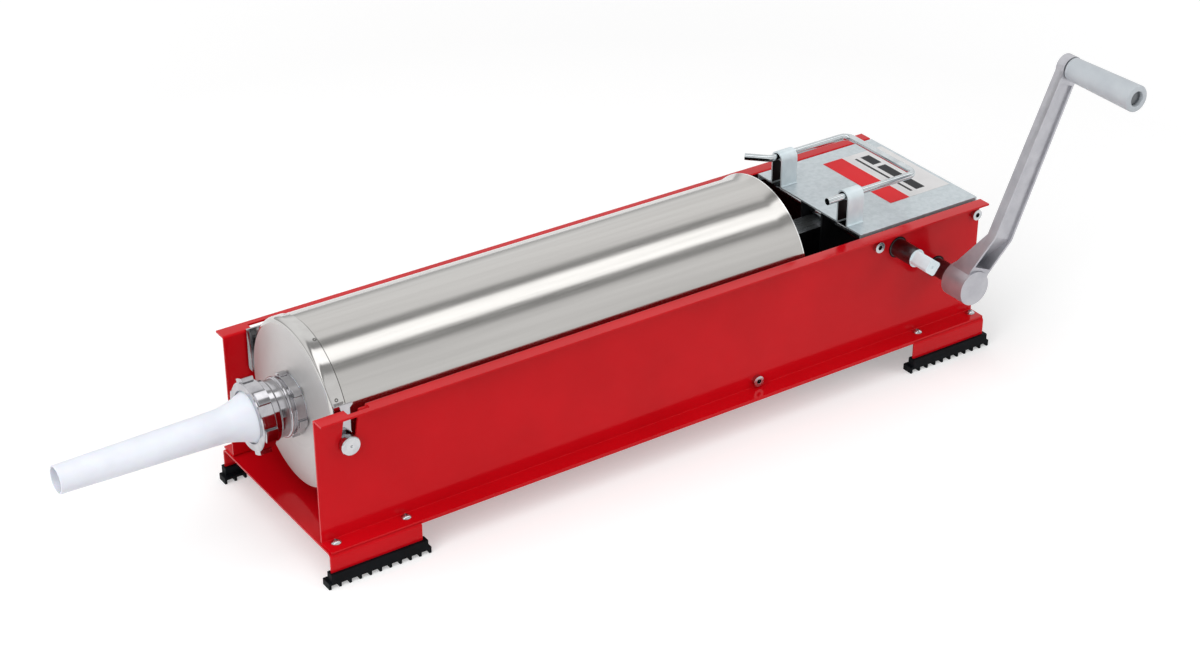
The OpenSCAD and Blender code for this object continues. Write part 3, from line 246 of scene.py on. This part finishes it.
# The same sheet where it turns over the edge and down the skirt: rubbed bright by the roller
skirtSteel = {
    "colour": "#CAC9C7", "shade": "#C0BEBC", "metallic": 1.0, "roughness": 0.09,
    "roughSpread": 0.03, "cloudMm": 20, "ringMm": 2.0, "axisPoint": (0, 0, 0.133), "bump": 0.01,
    # Spot welds that hold the skirt to the tube: places in metres, the radius of the dull mark,
    # and the share of it that stays bright in the middle
    "welds": [(-0.3674, -0.0755, 0.174), (-0.3674, 0.0755, 0.174),
              (-0.3622, -0.0287, 0.214), (-0.3622, 0.0287, 0.214)],
    "weldMm": 1.9, "weldBright": 0.4, "weldColour": "#6B6967",
}


def makeSkirtSteel(values):
    # A dull ring with a bright middle at each spot weld
    material, tree, shader, place = turnedMaterial("rubbedStainless", values)
    tint = shader.inputs["Base Color"].links[0].from_socket
    outer = values["weldMm"] / mmPerMetre
    for weld in values["welds"]:
        gap = vectorMaths(tree, "DISTANCE", place, weld).outputs["Value"]
        ring = stepBetween(tree, gap, outer * values["weldBright"], outer)
        tint = mixedColour(tree, ring, tint, values["weldColour"])
    tree.links.new(tint, shader.inputs["Base Color"])
    return material


# Turned and polished stainless: close tool rings, bright edges and hard reflections
turnedSteel = {
    "colour": "#BEBDC0", "shade": "#ADACB0", "metallic": 1.0, "roughness": 0.1,
    "roughSpread": 0.04, "cloudMm": 12, "ringMm": 1.6, "axisPoint": (0, 0, 0.1362), "bump": 0.03,
}
# Zinc-plated sheet: bluish, satin, with the faint mottling of the bath
zincSheet = {
    "colour": "#CCD4D8", "shade": "#C0C9CD", "metallic": 0.62, "roughness": 0.4,
    "roughSpread": 0.08, "cloudMm": 5, "grainMm": 2.2, "bump": 0.03,
}
# The same sheet under the bridges' arches, darkened near black as painted shade, with a dull sheen
archShadeZinc = {
    "colour": "#2E1D1F", "shade": "#1D1619", "metallic": 0.5, "roughness": 0.42,
    "roughSpread": 0.08, "cloudMm": 7, "grainMm": 2.0, "bump": 0.05,
}
# New plating on the bridges and the milled square ends: pale, cool and satin
freshZinc = {
    "colour": "#DFEAEE", "shade": "#D5E1E6", "metallic": 0.3, "roughness": 0.36,
    "roughSpread": 0.04, "cloudMm": 12, "grainMm": 2.0, "bump": 0.02,
}
# Bright zinc on turned or cold-headed steel: small sharp glints
brightZinc = {
    "colour": "#C9CCCE", "shade": "#BDC0C3", "metallic": 1.0, "roughness": 0.2,
    "roughSpread": 0.05, "cloudMm": 8, "grainMm": 1.5, "bump": 0.04,
}
# Drawn wire with the same plating: long clean glints, a little broken by the die lines
zincWire = {
    "colour": "#CED4D6", "shade": "#C0C6C9", "metallic": 1.0, "roughness": 0.13,
    "roughSpread": 0.04, "cloudMm": 12, "grainMm": 2.0, "bump": 0.04,
}
# Tumbled die-cast aluminium: matt, with a fine pebble
castAluminium = {
    "colour": "#C0C0C5", "shade": "#B3B3B9", "metallic": 0.7, "roughness": 0.42,
    "roughSpread": 0.07, "cloudMm": 18, "grainMm": 1.4, "bump": 0.14,
}
# Moulded grey nylon of the grip: satin from a spark-eroded mould
greyNylon = {
    "colour": "#BEC4C9", "shade": "#B6BCC2", "metallic": 0.0, "roughness": 0.36,
    "roughSpread": 0.05, "ior": 1.53, "specular": 0.4, "cloudMm": 25, "grainMm": 1.0, "bump": 0.06,
}
# The rack's upward faces: a paler, smoother steel strip
paleTopSteel = {
    "colour": "#A9AEB0", "shade": "#999EA1", "metallic": 0.9, "roughness": 0.3,
    "roughSpread": 0.06, "cloudMm": 12, "grainMm": 1.5, "stretch": (0.05, 1, 1), "bump": 0.05,
}
# Milled and hobbed steel, oiled: dark grey with cutter marks
gearSteel = {
    "colour": "#6E7174", "shade": "#5C5F62", "metallic": 1.0, "roughness": 0.34,
    "roughSpread": 0.08, "cloudMm": 10, "grainMm": 1.2, "bump": 0.08,
}
# Hot-rolled plate, hidden in the bay, coloured near black as painted shade under the cover: a dull
# dark ground for the gears
bayShadePlate = {
    "colour": "#2C2D30", "shade": "#202124", "metallic": 0.6, "roughness": 0.5,
    "roughSpread": 0.08, "cloudMm": 14, "grainMm": 1.5, "bump": 0.08,
}
# Moulded rubber: near black, blunt sheen, dusty grain
blackRubber = {
    "colour": "#0D1014", "shade": "#080A0D", "metallic": 0.0, "roughness": 0.54,
    "roughSpread": 0.1, "ior": 1.52, "specular": 0.07, "cloudMm": 12, "grainMm": 0.9, "bump": 0.25,
}
# Milky polyethylene: light enters a little way and rounds the shading
whitePolyethylene = {
    "colour": "#E9ECF4", "shade": "#E3E6EF", "metallic": 0.0, "roughness": 0.34,
    "roughSpread": 0.05, "ior": 1.51, "specular": 0.4, "scatter": 0.15, "scatterScale": 0.003,
    "cloudMm": 30, "grainMm": 2.0, "bump": 0.03,
}
# Oiled dark nylon of the bushes: a matt black ring round each shaft. The same finish is painted
# shade on the floor of each side screw's socket
darkNylonAndSocketShade = {
    "colour": "#15110F", "shade": "#0F0C0B", "metallic": 0.0, "roughness": 0.6,
    "roughSpread": 0.05, "ior": 1.53, "specular": 0.06, "cloudMm": 10, "grainMm": 0.8, "bump": 0.08,
}
# Printed film under a matt varnish: a red band, and dark bars on a pale panel
printedFilm = {
    "colour": "#E6E5E5", "shade": "#E0DFDF", "metallic": 0.0, "roughness": 0.36,
    "roughSpread": 0.03, "ior": 1.5, "specular": 0.12, "cloudMm": 20, "grainMm": 3.0, "bump": 0.02,
    # Where the band begins and ends along X
    "bandRed": "#E01620", "bandMm": (312, 339), "barDark": "#232427",
    # Dark bars on the pale panel: front, back, near and far edges
    "barsMm": [(349, 352, -38, 56), (357, 369, -38, -8), (357, 369, -2, 28), (357, 369, 34, 56)],
}


def makeFilm(values):
    material, tree, shader, place = grainedMaterial("printedFilm", values)
    spot = addNode(tree, "ShaderNodeSeparateXYZ", {0: place})
    x, y = spot.outputs["X"], spot.outputs["Y"]
    tint = shader.inputs["Base Color"].links[0].from_socket
    for edges in values["barsMm"]:
        front, back, near, far = [edge / mmPerMetre for edge in edges]
        across = stepBetween(tree, x, front, back)
        along = stepBetween(tree, y, near, far)
        tint = mixedColour(tree, maths(tree, "MULTIPLY", across, along), tint, values["barDark"])
    front, back = [edge / mmPerMetre for edge in values["bandMm"]]
    tint = mixedColour(tree, stepBetween(tree, x, front, back), tint, values["bandRed"])
    tree.links.new(tint, shader.inputs["Base Color"])
    return material


finishes = {
    "redStoveEnamel": makeEnamel(redEnamel),
    "brushedStainless": makeBarrelSteel(barrelSteel),
    "spunStainless": turnedMaterial("spunStainless", capSteel)[0],
    "rubbedStainless": makeSkirtSteel(skirtSteel),
    "turnedStainless": turnedMaterial("turnedStainless", turnedSteel)[0],
    "zincSheet": grainedMaterial("zincPlatedSheet", zincSheet)[0],
    "archShadeZinc": grainedMaterial("archShadeZincSheet", archShadeZinc)[0],
    "freshZinc": grainedMaterial("freshZincSteel", freshZinc)[0],
    "brightZinc": grainedMaterial("brightZincSteel", brightZinc)[0],
    "zincWire": grainedMaterial("zincPlatedWire", zincWire)[0],
    "castAluminium": grainedMaterial("tumbledCastAluminium", castAluminium)[0],
    "greyNylon": grainedMaterial("greyNylon", greyNylon)[0],
    "gearSteel": grainedMaterial("machinedSteel", gearSteel)[0],
    "paleTopSteel": grainedMaterial("paleTopSteel", paleTopSteel)[0],
    "bayShadePlate": grainedMaterial("bayShadeBlackPlate", bayShadePlate)[0],
    "rubber": grainedMaterial("mouldedRubber", blackRubber)[0],
    "polyethylene": grainedMaterial("whitePolyethylene", whitePolyethylene)[0],
    "darkNylonAndSocketShade": grainedMaterial("darkNylonAndSocketShade", darkNylonAndSocketShade)[0],
    "printedFilm": makeFilm(printedFilm),
}
print("materials made:", len(finishes))

# Which finish each node wears, and how far its sharp edges are rounded for the eye, in
# millimetres. A node with 0 is dressed as it is
nodeFinish = {
    "side_wall_near": ("redStoveEnamel", 0.4), "side_wall_far": ("redStoveEnamel", 0.4),
    "base_plate": ("redStoveEnamel", 0.4),
    "foot_front_near": ("rubber", 0.5), "foot_front_far": ("rubber", 0.5),
    "foot_rear_near": ("rubber", 0.5), "foot_rear_far": ("rubber", 0.5),
    "flange_screws": ("brightZinc", 0.2), "flange_nuts": ("brightZinc", 0.2),
    "side_screws": ("brightZinc", 0.5), "tie_rods": ("brightZinc", 0),
    "gearbox_plate_near": ("bayShadePlate", 0.3), "gearbox_plate_far": ("bayShadePlate", 0.3),
    "wall_bushes": ("darkNylonAndSocketShade", 0), "plate_bushes": ("darkNylonAndSocketShade", 0.2),
    "cover_plate": ("zincSheet", 0.3), "bail_bridges": ("freshZinc", 0.3),
    "label_panel": ("printedFilm", 0), "bail": ("zincWire", 0.5),
    "barrel_rest": ("polyethylene", 0.6), "barrel_tube": ("brushedStainless", 0.3),
    "end_cap": ("spunStainless", 0.3), "trunnion_lugs": ("turnedStainless", 0.3),
    "trunnion_studs": ("brightZinc", 0.4), "spigot": ("turnedStainless", 0.4),
    "spigot_gasket": ("polyethylene", 0), "spigot_back_nut": ("turnedStainless", 0.3),
    "ring_nut": ("turnedStainless", 0.8), "funnel": ("polyethylene", 0.5),
    "piston_disc": ("polyethylene", 0.8), "piston_seal": ("rubber", 0),
    "piston_back_plate": ("spunStainless", 0.3), "piston_bolt": ("brightZinc", 0.4),
    "rack": ("gearSteel", 0.25), "main_shaft": ("gearSteel", 0.4),
    "main_shaft_keys": ("gearSteel", 0), "main_gear": ("gearSteel", 0.2),
    "rack_pinion": ("gearSteel", 0.2), "main_clip": ("gearSteel", 0),
    "reduction_shaft": ("gearSteel", 0.4), "reduction_key": ("gearSteel", 0),
    "reduction_clip": ("gearSteel", 0), "reduction_pinion": ("gearSteel", 0.2),
    "crank_arm": ("castAluminium", 1.6), "grip_spindle": ("gearSteel", 0.3),
    "crank_grip": ("greyNylon", 0.6),
}
# How edges are treated: points closer than this are one, faces flatter than flatDegrees are
# joined, and only edges sharper than roundDegrees are rounded
edgeWork = {
    "weldMetres": 0.00001, "flatDegrees": 0.5, "smoothDegrees": 30, "roundDegrees": 32,
    "segments": 2,
}
bodies = frame["record"]["behaviour"]["bodies"]
bodyOf = {name: body for body, names in bodies.items() for name in names}


def softened(name, widthMm):
    # A copy of the node with its sharp edges rounded, which stands for the node
    copy = bpy.data.objects.new(name + "_soft", nodes[name].data.copy())
    bpy.context.scene.collection.objects.link(copy)
    mesh = bmesh.new()
    mesh.from_mesh(copy.data)
    bmesh.ops.remove_doubles(mesh, verts=mesh.verts, dist=edgeWork["weldMetres"])
    bmesh.ops.dissolve_limit(mesh, angle_limit=math.radians(edgeWork["flatDegrees"]),
                             verts=mesh.verts, edges=mesh.edges)
    smoothLimit = math.radians(edgeWork["smoothDegrees"])
    for edge in mesh.edges:
        edge.smooth = len(edge.link_faces) == 2 and edge.calc_face_angle(0) < smoothLimit
    for face in mesh.faces:
        face.smooth = True
    mesh.to_mesh(copy.data)
    mesh.free()
    bevel = copy.modifiers.new("edgeRound", "BEVEL")
    bevel.width = widthMm / mmPerMetre
    bevel.segments = edgeWork["segments"]
    bevel.limit_method = "ANGLE"
    bevel.angle_limit = math.radians(edgeWork["roundDegrees"])
    bevel.use_clamp_overlap = True
    bevel.harden_normals = True
    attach(copy, bodyOf[name])
    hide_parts(name)
    return copy


# Where a second finish begins, in metres: the cap's face and its edge, the walls' outer side,
# the shafts' square ends, and the middle and radius of each bridge's arch
finishEdges = {
    "capEdgeX": -0.3744, "wallOutside": 0.0945, "squareStart": -0.1215,
    "bridgeY": 0.0558, "archRadius": 0.009,
    # How nearly a face's normal points along an axis to count as facing that way
    "facing": 0.9, "capFacing": 0.97, "archFacing": 0.1, "archTolerance": 0.001,
}
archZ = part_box("bail_bridges")[1][2] - finishEdges["archRadius"]


def onSkirt(middle, normal):
    return normal.x > -finishEdges["capFacing"] and middle.x > finishEdges["capEdgeX"]


def inSocket(middle, normal):
    # The floor of a side screw's socket, which wears painted shade
    return abs(normal.y) > finishEdges["facing"] and abs(middle.y) < finishEdges["wallOutside"]


def onTop(middle, normal):
    return normal.z > finishEdges["facing"]


def onSquareEnd(middle, normal):
    return middle.y < finishEdges["squareStart"]


def underArch(middle, normal):
    # The faces under a bridge's arch look at its middle
    aside = middle.y - math.copysign(finishEdges["bridgeY"], middle.y)
    toward = aside * normal.y + (middle.z - archZ) * normal.z
    return toward < -finishEdges["archTolerance"] and normal.z < finishEdges["archFacing"]


# Nodes whose faces partly wear a second finish, and the test for those faces
secondFinish = {
    # The floor of each side screw's socket is made dark: painted shade in the recess
    "end_cap": ("rubbedStainless", onSkirt), "side_screws": ("darkNylonAndSocketShade", inSocket),
    "rack": ("paleTopSteel", onTop), "main_shaft": ("freshZinc", onSquareEnd),
    # The faces under each bridge's arch wear painted shade
    "reduction_shaft": ("freshZinc", onSquareEnd), "bail_bridges": ("archShadeZinc", underArch),
}
for name, (finish, widthMm) in nodeFinish.items():
    piece = softened(name, widthMm) if widthMm else nodes[name]
    piece.data.materials.clear()
    piece.data.materials.append(finishes[finish])
    if name in secondFinish:
        second, test = secondFinish[name]
        piece.data.materials.append(finishes[second])
        for face in piece.data.polygons:
            face.material_index = 1 if test(face.center, face.normal) else 0
print("nodes dressed:", len(nodeFinish))

# The floor, the camera and the room that metal mirrors
studio = {
    "floor": "#E4E4E4", "floorRoughness": 0.9, "floorHalfMetres": 30.0,
    # The floor's own glow where it is seen: beside the machine, and far out where the lamps
    # no longer reach
    "glow": (0.34, 0.75), "glowMetres": (1.0, 3.5),
    "cameraPlace": (-1.2192, -1.7664, 1.3152), "cameraAim": (60.46, 0.0, -34.04),
    "lensMm": 72.2, "sensorMm": 36,
    # The room's strength where it lights matt surfaces
    "skyOnMatt": 0.52,
    # How bright the room is round the machine's length, as metal mirrors it: degrees from
    # straight up toward the far side, and brightness
    "skyBands": [(-180, 1.0), (-75, 1.0), (-50, 1.0), (-36, 0.9), (-28, 0.42), (-22, 0.42),
                 (-16, 1.9), (-2, 1.9), (5, 0.5), (11, 0.4), (17, 0.75), (26, 1.05),
                 (44, 1.05), (180, 1.0)],
    # The dim low end of the room: its limits as the sine of the angle above the floor, and its
    # brightness
    "dimSines": (0.06, 0.3), "dimLevel": 0.55,
}


def seenDirectly(tree):
    # 1 for what the camera, a mirror or clear plastic sees, 0 for what lights the object
    path = addNode(tree, "ShaderNodeLightPath").outputs
    first = maths(tree, "MAXIMUM", path["Is Camera Ray"], path["Is Glossy Ray"])
    return maths(tree, "MAXIMUM", first, path["Is Transmission Ray"]), path["Is Glossy Ray"]


def makeFloor(values):
    # Pale paper: white where it is seen, with the object's soft shadow
    mesh = bpy.data.meshes.new("studioFloor")
    half = values["floorHalfMetres"]
    corners = [(-half, -half, 0), (half, -half, 0), (half, half, 0), (-half, half, 0)]
    mesh.from_pydata(corners, [], [(0, 1, 2, 3)])
    floor = bpy.data.objects.new("studioFloor", mesh)
    bpy.context.scene.collection.objects.link(floor)
    material = bpy.data.materials.new("palePaperFloor")
    material.use_nodes = True
    tree = material.node_tree
    shader = tree.nodes["Principled BSDF"]
    shader.inputs["Base Color"].default_value = linearColour(values["floor"])
    shader.inputs["Roughness"].default_value = values["floorRoughness"]
    shader.inputs["Specular IOR Level"].default_value = 0.0
    shader.inputs["Emission Color"].default_value = (1, 1, 1, 1)
    place = addNode(tree, "ShaderNodeTexCoord").outputs["Object"]
    away = vectorMaths(tree, "LENGTH", place).outputs["Value"]
    reach = remapped(tree, away, values["glowMetres"], values["glow"])
    glow = maths(tree, "MULTIPLY", seenDirectly(tree)[0], reach)
    tree.links.new(glow, shader.inputs["Emission Strength"])
    mesh.materials.append(material)


makeFloor(studio)
camera = bpy.data.objects.new("photoCamera", bpy.data.cameras.new("photoCamera"))
camera.data.lens = studio["lensMm"]
camera.data.sensor_width = studio["sensorMm"]
camera.location = studio["cameraPlace"]
camera.rotation_euler = [math.radians(angle) for angle in studio["cameraAim"]]
bpy.context.scene.collection.objects.link(camera)
bpy.context.scene.camera = camera

# Soft studio lamps: name, place, the point aimed at, size in metres, watts
lamps = [
    ("overheadSoftbox", (-0.9, -0.2, 2.3), (-0.2, 0, 0.1), 2.2, 21),
    ("frontSoftbox", (-2.6, -1.1, 1.5), (-0.1, 0, 0.1), 1.6, 31),
    ("rightSoftbox", (1.9, -1.6, 1.2), (0.1, 0, 0.1), 1.4, 15),
]
for name, place, aim, size, watts in lamps:
    light = bpy.data.lights.new(name, "AREA")
    light.shape = "SQUARE"
    light.size = size
    light.energy = watts
    lamp = bpy.data.objects.new(name, light)
    lamp.location = place
    lamp.rotation_euler = (Vector(aim) - Vector(place)).to_track_quat("-Z", "Y").to_euler()
    lamp.visible_glossy = False
    bpy.context.scene.collection.objects.link(lamp)


def makeSky(values):
    # White where it is seen, weaker where it lights matt surfaces, banded where metal mirrors it
    world = bpy.data.worlds.new("paleStudio")
    bpy.context.scene.world = world
    world.use_nodes = True
    tree = world.node_tree
    place = addNode(tree, "ShaderNodeTexCoord").outputs["Generated"]
    direction = addNode(tree, "ShaderNodeSeparateXYZ", {0: place}).outputs
    turn = maths(tree, "ARCTAN2", direction["Y"], direction["Z"])
    bands = addNode(tree, "ShaderNodeFloatCurve", {
        "Value": remapped(tree, turn, (-math.pi, math.pi))})
    top = max(level for degrees, level in values["skyBands"])
    curve = bands.mapping.curves[0]
    spots = [((degrees + 180) / 360, level / top) for degrees, level in values["skyBands"]]
    curve.points[0].location, curve.points[-1].location = spots[0], spots[-1]
    for spot in spots[1:-1]:
        curve.points.new(*spot)
    for point in curve.points:
        point.handle_type = "AUTO_CLAMPED"
    bands.mapping.update()
    dim = remapped(tree, direction["Z"], values["dimSines"], (values["dimLevel"] * top, top),
                   kind="SMOOTHSTEP")
    mirrored = maths(tree, "MULTIPLY", bands.outputs["Value"], dim)
    direct, glossy = seenDirectly(tree)
    plain = remapped(tree, direct, (0.0, 1.0), (values["skyOnMatt"], 1.0))
    strength = addNode(tree, "ShaderNodeMix", {0: glossy, 2: plain, 3: mirrored},
                       data_type="FLOAT").outputs[0]
    background = tree.nodes["Background"]
    background.inputs["Color"].default_value = (1, 1, 1, 1)
    tree.links.new(strength, background.inputs["Strength"])


makeSky(studio)
bpy.context.scene.view_settings.view_transform = "Standard"
print("studio ready")
